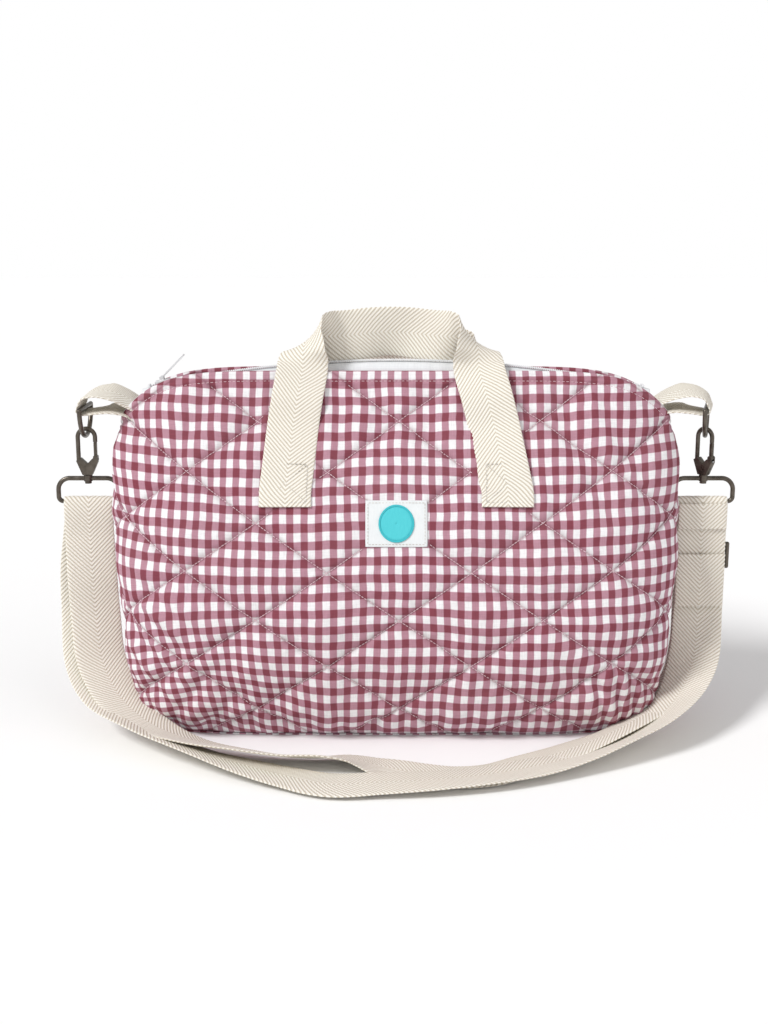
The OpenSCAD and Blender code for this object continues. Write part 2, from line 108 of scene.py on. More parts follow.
# Handles: how much each leg leans inward above a height, left and right
FRONT_LEANS, BACK_LEANS = (0.11, 0.2), (0.07, 0.07)
LEAN_FROM_Z = 188
LEG_LIFT, LEG_HEIGHTS = 1.3, (LEG_LOW_Z, 188, 198, FOLD_Z, 220, 232)
# Across and outward directions of the slanting crease where a handle folds
CREASE, CREASE_OUT = np.array([0.74, 0, 0.67]), np.array([-0.67, 0, 0.74])

LABEL_W, LABEL_H = 45, 32
LABEL_Z = 166.4
BADGE_D = 26


# --- Number helpers ---

def unit(v):
    return v / np.maximum(np.linalg.norm(v, axis=-1, keepdims=True), 1e-9)


def smooth_curve(stations, at):
    """Values of a smooth curve through stations of (place, value, value, ...)."""
    table = np.array(stations, float)
    knots, values = table[:, 0], table[:, 1:]
    slopes = np.gradient(values, knots, axis=0)
    at = np.asarray(at, float)
    i = np.clip(np.searchsorted(knots, at, side="right") - 1, 0, len(knots) - 2)
    span = (knots[i + 1] - knots[i])[:, None]
    t = (at - knots[i])[:, None] / span
    return ((2 * t**3 - 3 * t**2 + 1) * values[i] + (t**3 - 2 * t**2 + t) * span * slopes[i]
            + (3 * t**2 - 2 * t**3) * values[i + 1] + (t**3 - t**2) * span * slopes[i + 1])


def lengths_along(points):
    """Length of a line of points up to each of them."""
    return np.concatenate([[0], np.cumsum(np.linalg.norm(np.diff(points, axis=0), axis=1))])


def between_rows(at, places, values):
    """Rows of values between the places where they are given."""
    return np.column_stack([np.interp(at, places, column) for column in values.T])


def soft_noise(x, y, size, seed):
    """Smooth noise between -1 and 1 with bumps about size mm apart."""
    side = 64
    lattice = np.random.default_rng(seed).uniform(-1, 1, (side, side))
    gx, gy = x / size + side / 2, y / size + side / 2
    ix, iy = np.floor(gx).astype(int), np.floor(gy).astype(int)
    fx, fy = gx - ix, gy - iy
    fx, fy = fx * fx * (3 - 2 * fx), fy * fy * (3 - 2 * fy)

    def corner(i, j):
        return lattice[(ix + i) % side, (iy + j) % side]
    low = corner(0, 0) * (1 - fx) + corner(1, 0) * fx
    high = corner(0, 1) * (1 - fx) + corner(1, 1) * fx
    return low * (1 - fy) + high * fy


def ramp(value, low, high):
    """Smooth rise from 0 at low to 1 at high."""
    t = np.clip((value - low) / (high - low), 0, 1)
    return t * t * (3 - 2 * t)


def patch(x, z, half_x, half_z, soft):
    """1 inside a rectangle round the origin, fading to 0 over a soft border."""
    return ramp(-np.abs(x), -half_x - soft, -half_x) * ramp(-np.abs(z), -half_z - soft, -half_z)


# --- Mesh helpers ---

def new_object(name, data):
    made = bpy.data.objects.new(name, data)
    bpy.context.scene.collection.objects.link(made)
    return made


def shade_smooth(mesh):
    mesh.polygons.foreach_set("use_smooth", np.ones(len(mesh.polygons), bool))


def mesh_object(name, points, faces, uvs, material):
    """A smooth-shaded mesh from points in millimetres, with one texture place per point."""
    mesh = bpy.data.meshes.new(name)
    mesh.from_pydata((np.asarray(points, float) * MM).tolist(), [], faces)
    shade_smooth(mesh)
    mesh.materials.append(material)
    obj = new_object(name, mesh)
    add_uv(obj, "fabric", uvs)
    mesh.validate()
    return obj


def add_uv(obj, name, uvs):
    """One more texture place per point, in millimetres."""
    corners = np.zeros(len(obj.data.loops), np.int32)
    obj.data.loops.foreach_get("vertex_index", corners)
    layer = obj.data.uv_layers.new(name=name)
    layer.data.foreach_set("uv", (np.asarray(uvs, float)[corners] * UV_PER_MM).ravel())


def grid_faces(rows, cols, first=0, flip=False):
    """Quads over a rows x cols grid of points."""
    r, c = np.meshgrid(np.arange(rows - 1), np.arange(cols - 1), indexing="ij")
    a = (first + r * cols + c).ravel()
    quads = np.column_stack([a, a + 1, a + cols + 1, a + cols])
    return (quads[:, ::-1] if flip else quads).tolist()


def ring_faces(rings, sides, closed=False):
    """Quads between rings of points; closed joins the last ring to the first."""
    i, k = np.meshgrid(np.arange(rings if closed else rings - 1), np.arange(sides), indexing="ij")
    here, there = i * sides, (i + 1) % rings * sides
    nxt = (k + 1) % sides
    return np.stack([here + k, here + nxt, there + nxt, there + k], -1).reshape(-1, 4).tolist()


def closed_sheet(name, outer, inner, uv, material):
    """A closed solid between two grids of points with the same layout."""
    rows, cols = outer.shape[:2]
    count = rows * cols
    faces = grid_faces(rows, cols) + grid_faces(rows, cols, count, flip=True)
    index = np.arange(count).reshape(rows, cols)
    rim = np.concatenate([index[0, :-1], index[:-1, -1], index[-1, :0:-1], index[:0:-1, 0]])
    nxt = np.roll(rim, -1)
    faces += np.column_stack([nxt, rim, rim + count, nxt + count]).tolist()
    points = np.concatenate([outer.reshape(-1, 3), inner.reshape(-1, 3)])
    uvs = np.concatenate([uv.reshape(-1, 2)] * 2)
    return mesh_object(name, points, faces, uvs, material)


def place_all(name, template, faces, origins, x_axes, y_axes, z_axes, material):
    """One mesh of many copies of a small template, each in its own frame."""
    points = (origins[:, None] + template[None, :, :1] * x_axes[:, None]
              + template[None, :, 1:2] * y_axes[:, None]
              + template[None, :, 2:] * z_axes[:, None]).reshape(-1, 3)
    shifts = np.arange(len(origins)) * len(template)
    every = [[i + s for i in face] for s in shifts.tolist() for face in faces]
    return mesh_object(name, points, every, points[:, :2], material)


def bead(rings, radii, sides):
    """Template of a closed bead along x: points and faces."""
    turn = np.arange(sides) * 2 * math.pi / sides
    points = [[x, r[0] * math.cos(t), r[1] * math.sin(t)]
              for x, r in zip(rings, radii) for t in turn]
    last = (len(rings) - 1) * sides
    faces = ring_faces(len(rings), sides)
    faces += [list(range(sides))[::-1], list(range(last, last + sides))]
    return np.array(points), [face[::-1] for face in faces]


def stitches(points, normals, spacing, thickness=0.34, share=0.68):
    """A row of thread stitches along a line of points that lies on cloth."""
    length = lengths_along(points)
    count = max(int(length[-1] / spacing), 1)
    at = (np.arange(count) + 0.5) * length[-1] / count
    half = length[-1] / count * share / 2
    ahead, behind = (between_rows(at + reach, length, points) for reach in (half, -half))
    middle = between_rows(at, length, points)
    x_axis = unit(ahead - behind)
    z_axis = unit(between_rows(at, length, normals))
    y_axis = unit(np.cross(z_axis, x_axis))
    z_axis = np.cross(x_axis, y_axis)
    return middle + z_axis * thickness * 0.3, x_axis * half, y_axis * thickness, z_axis * thickness


STITCH_RINGS = [-1, -0.86, -0.4, 0.4, 0.86, 1]
STITCH_RADII = [(0.1, 0.1), (0.6, 0.5), (1, 1), (1, 1), (0.6, 0.5), (0.1, 0.1)]


def sew(name, rows, material):
    """One mesh of all the stitches of several rows, each row given as stitches() returns it."""
    template, faces = bead(STITCH_RINGS, STITCH_RADII, 6)
    joined = [np.concatenate(part) for part in zip(*rows)]
    return place_all(name, template, faces, *joined, material)


# --- Materials ---

class Paint:
    """A node material with a few short helpers for building its graph."""

    def __init__(self, name, roughness=0.9, metallic=0.0, sheen=0.0):
        self.material = bpy.data.materials.new(name)
        self.material.use_nodes = True
        self.tree = self.material.node_tree
        self.shader = self.tree.nodes["Principled BSDF"]
        specular = 0.2 if metallic == 0.0 else 0.5
        for key, value in (("Roughness", roughness), ("Metallic", metallic),
                           ("Sheen Weight", sheen), ("Specular IOR Level", specular)):
            self.shader.inputs[key].default_value = value

    def node(self, kind, **values):
        made = self.tree.nodes.new(kind)
        for key, value in values.items():
            setattr(made, key, value)
        return made

    def wire(self, value, socket):
        if isinstance(value, bpy.types.NodeSocket):
            self.tree.links.new(value, socket)
        else:
            socket.default_value = value

    def math(self, operation, a, b=0.0, clamp=False):
        made = self.node("ShaderNodeMath", operation=operation, use_clamp=clamp)
        self.wire(a, made.inputs[0])
        self.wire(b, made.inputs[1])
        return made.outputs[0]

    def plus(self, a, b, clamp=False):
        return self.math("ADD", a, b, clamp)

    def minus(self, a, b):
        return self.math("SUBTRACT", a, b)

    def times(self, a, b):
        return self.math("MULTIPLY", a, b)

    def over(self, a, b):
        return self.math("DIVIDE", a, b)

    def mix(self, factor, a, b, blend="MIX"):
        made = self.node("ShaderNodeMix", data_type="RGBA", blend_type=blend)
        self.wire(factor, made.inputs[0])
        self.wire(colour(a), made.inputs[6])
        self.wire(colour(b), made.inputs[7])
        return made.outputs[2]

    def fabric_place(self, layer="fabric"):
        """Texture place in millimetres, across and along the cloth."""
        source = self.node("ShaderNodeUVMap", uv_map=layer)
        parts = self.node("ShaderNodeSeparateXYZ")
        self.tree.links.new(source.outputs[0], parts.inputs[0])
        return (self.over(parts.outputs[0], UV_PER_MM),
                self.over(parts.outputs[1], UV_PER_MM))

    def noise(self, x, y, size_x, size_y, detail=2.0, z=0.0):
        """Noise between 0 and 1 whose bumps measure size_x by size_y mm."""
        joined = self.node("ShaderNodeCombineXYZ")
        self.wire(self.over(x, size_x), joined.inputs[0])
        self.wire(self.over(y, size_y), joined.inputs[1])
        self.wire(z, joined.inputs[2])
        return self.noise_at(joined.outputs[0], 1.0, detail)

    def noise_at(self, place, scale, detail):
        made = self.node("ShaderNodeTexNoise")
        for key, value in (("Vector", place), ("Scale", scale), ("Detail", detail)):
            self.wire(value, made.inputs[key])
        return made.outputs[0]

    def wave(self, value, period):
        """Sine of a value, between 0 and 1."""
        turned = self.math("SINE", self.times(value, 2 * math.pi / period))
        return self.plus(self.times(turned, 0.5), 0.5)

    def object_noise(self, size, detail=3.0):
        """Noise in the object's own space, for pieces without a texture place."""
        place = self.node("ShaderNodeTexCoord").outputs["Object"]
        return self.noise_at(place, 1 / (size * MM), detail)

    def finish(self, base, bump=None, strength=0.3, depth=0.2, roughness=None):
        self.wire(colour(base), self.shader.inputs["Base Color"])
        if roughness is not None:
            self.wire(roughness, self.shader.inputs["Roughness"])
        if bump is not None:
            made = self.node("ShaderNodeBump")
            for key, value in (("Strength", strength), ("Distance", depth * MM),
                               ("Height", bump)):
                self.wire(value, made.inputs[key])
            self.wire(made.outputs[0], self.shader.inputs["Normal"])
        return self.material


def colour(value):
    return (*value, 1.0) if isinstance(value, tuple) and len(value) == 3 else value


def stripe(paint, place, period, soft):
    """1 on the coloured half of each period, 0 on the other half."""
    part = paint.math("FRACT", paint.over(place, period))
    off = paint.math("ABSOLUTE", paint.minus(part, 0.5))
    return paint.plus(paint.over(paint.minus(0.25, off), soft), 0.5, clamp=True)


WARP_PERIOD, WEFT_PERIOD = 10.1, 12.2
CHECK_DRIFT = 1.6
YARN = 0.85


def quilt_crease(paint, u, w):
    """1 on the quilting lines, fading out beside them: the mask of the painted shade and of the
    bump dent along the stitches.
    """
    across = paint.over(paint.minus(u, QUILT_X), QUILT_ACROSS)
    up = paint.over(paint.minus(w, QUILT_Z), QUILT_UP)
    nearest = None
    for turn in ("ADD", "SUBTRACT"):
        part = paint.math("FRACT", paint.plus(paint.math(turn, across, up), 100.5))
        off = paint.math("ABSOLUTE", paint.minus(part, 0.5))
        nearest = off if nearest is None else paint.math("MINIMUM", nearest, off)
    place = paint.times(nearest, -QUILT_SPACING / CREASE_W)
    return paint.math("POWER", math.e, place)


def gingham():
    paint = Paint("gingham", roughness=0.95, sheen=0.03)
    u, w = paint.fabric_place()
    drift_u = paint.times(paint.minus(paint.noise(u, w, 40, 14), 0.5), CHECK_DRIFT)
    drift_w = paint.times(paint.minus(paint.noise(u, w, 14, 40, z=7.0), 0.5), CHECK_DRIFT)
    warp = stripe(paint, paint.plus(u, drift_u), WARP_PERIOD, 0.05)
    weft = stripe(paint, paint.plus(w, drift_w), WEFT_PERIOD, 0.05)
    light, one, both = (0.80, 0.79, 0.80), (0.42, 0.215, 0.27), (0.20, 0.034, 0.055)
    cloth = paint.mix(weft, paint.mix(warp, light, one), paint.mix(warp, one, both))
    yarns = paint.times(paint.wave(u, YARN), paint.wave(w, YARN))
    slub_up = paint.noise(u, w, 0.8, 9, detail=1.0)
    slub_across = paint.noise(u, w, 9, 0.8, detail=1.0, z=3.0)
    texture = paint.plus(paint.times(slub_up, 0.5), paint.times(slub_across, 0.5))
    shade = paint.plus(paint.plus(paint.times(texture, 0.5), paint.times(yarns, 0.2)), 0.72)
    grey = paint.node("ShaderNodeCombineColor")
    for socket in grey.inputs[:3]:
        paint.wire(shade, socket)
    cloth = paint.mix(1.0, cloth, grey.outputs[0], blend="MULTIPLY")
    worn = paint.times(paint.noise(u, w, 55, 55, detail=4.0, z=11.0), 0.06)
    cloth = paint.mix(worn, cloth, (0.86, 0.80, 0.80))
    crease = quilt_crease(paint, *paint.fabric_place("quilting"))
    # Painted shade: the cloth is darkened towards deep rose along the quilting lines, where shadow
    # falls in the creases
    cloth = paint.mix(paint.times(crease, 0.6), cloth, (0.20, 0.07, 0.09))
    height = paint.minus(paint.plus(yarns, paint.times(texture, 0.8)), paint.times(crease, 2.0))
    return paint.finish(cloth, bump=height, strength=0.45, depth=0.25)


RIB_PITCH = 3.3
RIB_SLOPE = 1.0


def webbing():
    paint = Paint("webbing", roughness=0.9, sheen=0.05)
    u, w = paint.fabric_place()
    slant = paint.minus(w, paint.times(paint.math("ABSOLUTE", u), RIB_SLOPE))
    drift = paint.times(paint.noise(u, w, 5, 5, detail=1.0), 0.5)
    groove = paint.math("POWER", paint.wave(paint.plus(slant, drift), RIB_PITCH), 0.45)
    dash = paint.wave(paint.plus(w, paint.times(u, 0.4)), 1.3)
    fill = paint.times(groove, paint.plus(paint.times(dash, 0.25), 0.75))
    # The rib pattern is the weave's own; the darker brown groove colour is painted shade in the
    # recesses between the ribs
    base = paint.mix(fill, (0.50, 0.43, 0.32), (0.95, 0.93, 0.87))
    stain = paint.noise(u, w, 30, 45, detail=3.0, z=5.0)
    base = paint.mix(paint.times(stain, 0.14), base, (0.74, 0.65, 0.50))
    return paint.finish(base, bump=fill, strength=0.7, depth=0.6)


def plain_cloth(name, base, dark, size=0.9, roughness=0.9):
    """Plain weave in one colour."""
    paint = Paint(name, roughness=roughness, sheen=0.1)
    u, w = paint.fabric_place()
    yarns = paint.times(paint.wave(u, size), paint.wave(w, size))
    slub = paint.noise(u, w, 1.2, 6, detail=2.0)
    mixed = paint.plus(paint.times(yarns, 0.5), paint.times(slub, 0.5), clamp=True)
    return paint.finish(paint.mix(mixed, dark, base), bump=mixed, strength=0.4, depth=0.2)


def plain_solid(name, base, dark, roughness, metallic, size=6.0, strength=0.1):
    """Metal or plastic with faint uneven wear."""
    paint = Paint(name, roughness=roughness, metallic=metallic)
    spots = paint.object_noise(size)
    rough = paint.plus(paint.times(spots, 0.3), roughness - 0.15, clamp=True)
    return paint.finish(paint.mix(spots, dark, base), bump=paint.object_noise(size / 6),
                        strength=strength, depth=0.15, roughness=rough)


GINGHAM = gingham()
WEBBING = webbing()
WADDING = plain_cloth("wadding", (0.86, 0.86, 0.85), (0.75, 0.75, 0.74), size=2.5)
LINING = plain_cloth("lining", (0.84, 0.82, 0.77), (0.74, 0.72, 0.67))
ZIP_TAPE = plain_cloth("zip_tape", (0.86, 0.87, 0.88), (0.66, 0.68, 0.70), size=1.1)
ZIP_TEETH = plain_solid("zip_teeth", (0.86, 0.87, 0.88), (0.78, 0.79, 0.80), 0.4, 0.0)
ZIP_METAL = plain_solid("zip_metal", (0.82, 0.83, 0.84), (0.62, 0.63, 0.64), 0.38, 0.35)
LABEL_CLOTH = plain_cloth("label_cloth", (0.86, 0.88, 0.88), (0.68, 0.71, 0.72), size=0.8)
BADGE = plain_cloth("badge", (0.12, 0.66, 0.70), (0.06, 0.50, 0.56), size=0.7, roughness=0.7)
BADGE_RIM = plain_cloth("badge_rim", (0.08, 0.55, 0.60), (0.04, 0.42, 0.48), size=0.6)
PINK_THREAD = plain_cloth("pink_thread", (0.84, 0.68, 0.71), (0.62, 0.42, 0.47), size=0.5)
WHITE_THREAD = plain_cloth("white_thread", (0.74, 0.71, 0.66), (0.50, 0.47, 0.42), size=0.5)
NICKEL = plain_solid("antique_nickel", (0.20, 0.175, 0.145), (0.045, 0.036, 0.028), 0.32, 0.9,
                     size=5.0, strength=0.25)
STEEL = plain_solid("spring_steel", (0.55, 0.55, 0.55), (0.45, 0.45, 0.45), 0.3, 1.0)


# --- Body ---

def outline(v, inset=0.0, count=COLUMNS + 1):
    """Evenly spaced points of one wall at one level, from the left seam to the right one."""
    share_w, share_d = smooth_curve(BODY_STATIONS, [v])[0]
    power = 2 / (CORNER_LOW + (CORNER_HIGH - CORNER_LOW) * v)
    half_w, half_d = BODY_W / 2 * share_w - inset, BODY_D / 2 * share_d - inset
    t = np.linspace(-1, 1, 1201)
    turn = math.pi / 2 * (1 - np.sign(t) * np.abs(t)**2.6)
    x = half_w * np.sign(np.cos(turn)) * np.abs(np.cos(turn))**power
    y = -half_d * np.abs(np.sin(turn))**power
    length = lengths_along(np.column_stack([x, y]))
    at = np.linspace(0, length[-1], count)
    return np.interp(at, length, x), np.interp(at, length, y), at - length[-1] / 2


def top_z(x):
    """Height where the wall ends and its edge rolls inward."""
    half = BODY_W / 2 * BODY_STATIONS[-1][1]
    return EDGE_Z - SHOULDER_DROP * np.minimum(1, np.abs(x) / half)**SHOULDER_POWER


def wall_grid():
    """Points and cloth places of the front wall at all levels. Columns run left to right."""
    points, places = [], []
    for v in LEVELS:
        x, y, u = outline(v)
        z = FOOT_Z + v * (top_z(x) - FOOT_Z)
        points.append(np.column_stack([x, y, z]))
        places.append(np.column_stack([u, z]))
    return np.array(points), np.array(places)


def grid_normals(points):
    """Outward unit normals of a front wall grid."""
    return unit(np.cross(np.gradient(points, axis=1), np.gradient(points, axis=0)))


def quilt_lines(u, w):
    """How far each place is from a stitched line, and its count of lines in both families."""
    across, up = (u - QUILT_X) / QUILT_ACROSS, (w - QUILT_Z) / QUILT_UP
    a, b = across + up, across - up
    return QUILT_SPACING * np.minimum(np.abs(a - np.round(a)), np.abs(b - np.round(b))), a, b


# Gathers: (place across, place up, half size across, half size up, direction of the waves in
# degrees, distance between waves, height of a wave)
FRONT_GATHERS = [
    (168, 32, 30, 30, 12, 12.5, 1.7),
    (140, 60, 46, 34, 55, 30, 1.6),
    (-178, 70, 30, 52, 52, 19, 1.7),
    (-146, 34, 34, 34, -38, 27, 1.9),
    (-112, 60, 40, 40, -24, 42, 1.4),
    (0, 245, 140, 26, 0, 33, 1.0),
    (-150, 225, 50, 34, -28, 34, 1.1),
    (150, 205, 52, 44, 24, 36, 1.3),
    (60, 95, 90, 40, 62, 54, 1.1),
    (-10, 14, 190, 17, 4, 24, 0.9)
]
BACK_GATHERS = [
    (-160, 36, 34, 32, -14, 14, 1.8),
    (150, 48, 36, 40, 44, 24, 2.3),
    (100, 80, 44, 44, 20, 40, 1.6),
    (0, 240, 150, 28, 0, 36, 1.0),
    (-130, 210, 60, 46, 26, 38, 1.3),
    (-40, 90, 90, 44, -60, 52, 1.2),
    (10, 14, 190, 17, -4, 25, 0.9)
]
# Slanted checks in a lower corner: (side, reach across, reach up, squeeze, tilt)
FRONT_SLANT = [(-1, 160, 140, 0.65, 0.42), (1, 70, 90, 0.35, -0.25)]
BACK_SLANT = [(-1, 80, 90, 0.25, 0.2), (1, 120, 110, 0.3, -0.2)]
# Where the slant ends across and at the foot, and how far it pulls the checks inward
SLANT_EDGE, SLANT_FOOT, SLANT_IN = 205, 15, 0.18
# Share of a gather's height that pulls the checks, and their own drift: (bump size, reach)
GATHER_PULL, DRIFT = 0.6, ((90, 2.0), (30, 0.5))
# Sharp and wide part of each puff between the stitches: (height, reach)
PUFFS, PUFF_TOP = ((2.1, 1.9), (2.1, 9.0)), 3.9


def waves(u, w, gathers, seed):
    """Each gather's height faded out round its place, its phase, and its direction."""
    for u0, w0, size_u, size_w, turn, period, height in gathers:
        mask = np.exp(-((u - u0) / size_u)**2 - ((w - w0) / size_w)**2)
        t = math.radians(turn)
        bend = soft_noise(u, w, period * 2.2, seed + int(period)) * 1.5
        phase = 2 * math.pi * ((u - u0) * math.cos(t) + (w - w0) * math.sin(t)) / period + bend
        yield height * mask, phase, (math.cos(t), math.sin(t))


def cloth_pull(u, w, gathers, seed, slant):
    pull = np.zeros((*u.shape, 2))
    for height, phase, direction in waves(u, w, gathers, seed):
        for k in (0, 1):
            pull[..., k] += GATHER_PULL * height * np.cos(phase) * direction[k]
    for side, reach_u, reach_w, squeeze, tilt in slant:
        inner = SLANT_EDGE - reach_u
        mask = ramp(side * u, inner, SLANT_EDGE) * ramp(-w, -reach_w, -SLANT_FOOT)
        pull[..., 1] += mask * (squeeze * (w - reach_w) - tilt * side * (side * u - inner))
        pull[..., 0] += mask * side * SLANT_IN * (reach_w - w)
    for k, first in ((0, 8), (1, 6)):
        for shift, (size, height) in enumerate(DRIFT):
            pull[..., k] += height * soft_noise(u, w, size, seed + first + shift)
    return pull


def relief(u, w, gathers, seed):
    """How far the quilted cloth stands out of the smooth body."""
    near, a, b = quilt_lines(u, w)
    out = sum(height * (1 - np.exp(-near / reach)) for height, reach in PUFFS)
    out += (np.sin(math.pi * a) * np.sin(math.pi * b))**2
    out -= PUFF_TOP
    pucker = soft_noise(u + w, u - w, 5.0, seed) + 0.6 * soft_noise(u - w, u + w, 9.0, seed + 1)
    out += 0.5 * np.exp(-((near - 3.5) / 4.5)**2) * pucker
    out += 1.2 * soft_noise(u, w, 62, seed + 2) + 0.6 * soft_noise(u, w, 26, seed + 3)
    wrinkle = soft_noise(u * 0.9 + w * 0.4, w * 0.9 - u * 0.4, 15, seed + 5)
    out += 0.55 * (1 - 2 * np.abs(wrinkle)) + 0.25 * soft_noise(u, w, 8, seed + 4)
    for height, phase, _ in waves(u, w, gathers, seed):
        wave = np.sin(phase)
        out += height * (wave - 0.35 * wave**2)
    return out


def sewn_flat(x, z, has_label):
    """1 where something is sewn on or lies on the cloth, which is flat under it."""
    left, right = FRONT_LEANS if has_label else BACK_LEANS
    rise = np.maximum(0, z - LEAN_FROM_Z)
    mask = np.maximum(patch(x + LEG_X - left * rise, z - 215, 20, 38, 8),
                      patch(x - LEG_X + right * rise, z - 215, 20, 38, 8))
    if has_label:
        mask = np.maximum(mask, patch(x, z - LABEL_Z, LABEL_W / 2, LABEL_H / 2, 6))
    return mask


class Wall:
    """One quilted side of the bag: its outer cloth as a grid that other pieces can be laid on."""

    def __init__(self, gathers, slant, seed, side, has_label):
        self.side = side
        smooth, places = wall_grid()
        self.smooth, self.places = smooth, places
        u, w = places[..., 0], places[..., 1]
        out = relief(u, w, gathers, seed)
        flat = sewn_flat(smooth[..., 0], smooth[..., 2], has_label)
        out = out * (1 - flat) - 0.6 * flat
        below = (top_z(smooth[..., 0]) - smooth[..., 2])
        hem = ramp(-below, -7.5, -3.5)
        out = out * (1 - hem) - 0.3 * hem - 1.1 * np.exp(-((below - HEM_STITCH) / 1.1)**2)
        out = out * ramp(LEVELS, -0.02, 0.05)[:, None]
        share = np.abs(u) / np.abs(u).max(axis=1, keepdims=True)
        seam = ramp(share, 0.975, 1.0)
        out = out * (1 - seam) - 1.6 * seam
        self.smooth_normals = grid_normals(smooth)
        self.points = smooth + self.smooth_normals * out[..., None]
        self.points[..., 1] = np.minimum(self.points[..., 1], -MIDDLE_GAP)
        self.points[..., 2] = np.maximum(self.points[..., 2], FLOOR_GAP)
        self.normals = grid_normals(self.points)
        self.checks = places + cloth_pull(u, w, gathers, seed, slant)

    def level(self, z, top=EDGE_Z):
        """Share of the wall's height, for heights above the floor."""
        return np.clip((z - FOOT_Z) / (top - FOOT_Z), 0, 1)

    def half_width(self, level):
        return np.interp(level, LEVELS, np.abs(self.places[:, 0, 0]))

    def turned(self, values):
        """Front grid values on this wall's own side."""
        return values * np.array([1, self.side, 1])

    def sheet(self, name, outer, inner, uv, material):
        if self.side < 0:
            outer, inner = self.turned(inner), self.turned(outer)
        return closed_sheet(name, outer, inner, uv, material)

    def lay(self, u, w, lift):
        """Points on the cloth, lifted off it, and the cloth's normals, for cloth places."""
        u, w = np.broadcast_arrays(np.asarray(u, float), np.asarray(w, float))
        level = self.level(w)
        for _ in range(4):
            row = np.interp(level, LEVELS, np.arange(len(LEVELS)))
            col = np.clip((u / self.half_width(level) + 1) / 2 * COLUMNS, 0, COLUMNS)
            level = self.level(w, top_z(self.sample(self.points, row, col)[..., 0]))
        row = np.interp(level, LEVELS, np.arange(len(LEVELS)))
        normal = unit(self.sample(self.normals, row, col))
        point = self.sample(self.points, row, col) + normal * np.asarray(lift, float)[..., None]
        return self.turned(point), self.turned(normal)

    def sample(self, values, row, col):
        r = np.clip(np.floor(row).astype(int), 0, len(LEVELS) - 2)
        c = np.clip(np.floor(col).astype(int), 0, COLUMNS - 1)
        fr, fc = (row - r)[..., None], (col - c)[..., None]
        low = values[r, c] * (1 - fc) + values[r, c + 1] * fc
        high = values[r + 1, c] * (1 - fc) + values[r + 1, c + 1] * fc
        return low * (1 - fr) + high * fr

    def cloth(self, name):
        """The outer cloth, rolled over the top edge to the inside."""
        top, normal = self.points[-1], self.smooth_normals[-1].copy()
        normal[:, 2] = 0
        normal = unit(normal)
        turns = np.radians(np.linspace(15, 180, 9))
        rows = [top - normal * HEM_R * (1 - math.cos(t)) + np.array([0, 0, HEM_R * math.sin(t)])
                for t in turns]
        rows += [rows[-1] - np.array([0, 0, 1]) * drop for drop in HEM_DROPS]
        outer = np.concatenate([self.points, np.array(rows)])
        outer[..., 1] = np.minimum(outer[..., 1], -MIDDLE_GAP)
        extra = self.places[-1][None] + np.array(
            [[0, HEM_R * t] for t in turns] + [[0, HEM_R * math.pi + d] for d in HEM_DROPS]
        )[:, None]
        inner = outer - grid_normals(outer) * CLOTH_T
        inner[..., 1] = np.minimum(inner[..., 1], -0.12)
        inner[..., 2] = np.maximum(inner[..., 2], 1.1)
        lines = np.concatenate([self.places, extra])
        uv = np.concatenate([self.checks, extra + self.checks[-1] - self.places[-1]])
        made = self.sheet(name, outer, inner, uv, GINGHAM)
        add_uv(made, "quilting", np.concatenate([lines.reshape(-1, 2)] * 2))
        return made

    def padding(self, name, outer_in, inner_in, follow, low, high, material):
        """A layer under the cloth: its outer face follows the quilting by a share."""
        step = 4
        rows = (LEVELS >= low) & (LEVELS <= high)
        base, normals = self.smooth[rows][:, ::step], self.smooth_normals[rows][:, ::step]
        dent = ((self.points - self.smooth) * self.smooth_normals).sum(-1)
        for shift in (1, 2, 4):
            for axis in (0, 1):
                beside = np.minimum(np.roll(dent, shift, axis), np.roll(dent, -shift, axis))
                dent = np.minimum(dent, beside)
        dent = np.minimum(dent, 1.0)[rows][:, ::step]
        outer = base + normals * (dent * follow - outer_in)[..., None]
        inner = base - normals * inner_in
        outer[..., 1] = np.minimum(outer[..., 1], -outer_in)
        inner[..., 1] = np.minimum(inner[..., 1], -outer_in)
        return self.sheet(name, outer, inner, self.places[rows][:, ::step], material)


def base_plate(name, inset, low, high, material):
    """A flat layer of the base with softly rounded edges."""
    x, y, _ = outline(0.0, inset, 121)
    ring = np.column_stack([np.concatenate([x, -x[1:-1]]), np.concatenate([y, -y[1:-1]])])
    round_r = (high - low) / 2
    size = np.abs(ring).max(axis=0)
    rows = [np.column_stack([ring * (1 - round_r * (1 - math.cos(t)) / size),
                             np.full(len(ring), low + round_r * (1 + math.sin(t)))])
            for t in np.radians(np.linspace(-90, 90, 7))]
    count = len(ring)
    last = (len(rows) - 1) * count
    points = np.concatenate(rows)
    faces = [face[::-1] for face in ring_faces(len(rows), count)]
    faces += [list(range(count)), list(range(last, last + count))[::-1]]
    made = mesh_object(name, points, faces, points[:, :2], material)
    add_uv(made, "quilting", points[:, :2])
    return made


def quilting_thread(wall, name):
    """Thread along both families of quilting lines, except where something is sewn on."""
    rows = []
    u = np.linspace(-300, 300, 900)
    for slope in (1, -1):
        for k in range(-7, 8):
            w = QUILT_Z + slope * QUILT_UP * (k - (u - QUILT_X) / QUILT_ACROSS)
            flat = sewn_flat(u, w, wall.side > 0)
            half = wall.half_width(wall.level(w))
            inside = (w > 4) & (w < EDGE_Z - 6) & (np.abs(u) < half * 0.975)
            if inside.sum() < 12:
                continue
            first, last = np.flatnonzero(inside)[[0, -1]]
            points, normals = wall.lay(u[first:last], w[first:last], 0.1)
            made = stitches(points, normals, 2.7, thickness=0.32, share=0.86)
            x, z = made[0][:, 0], made[0][:, 2]
            order = np.argsort(points[:, 0])
            shown = np.interp(x, points[order, 0], flat[first:last][order]) <= 0.6
            keep = shown & (z < top_z(x) - 7)
            rows.append([part[keep] for part in made])
    return sew(name, rows, PINK_THREAD)


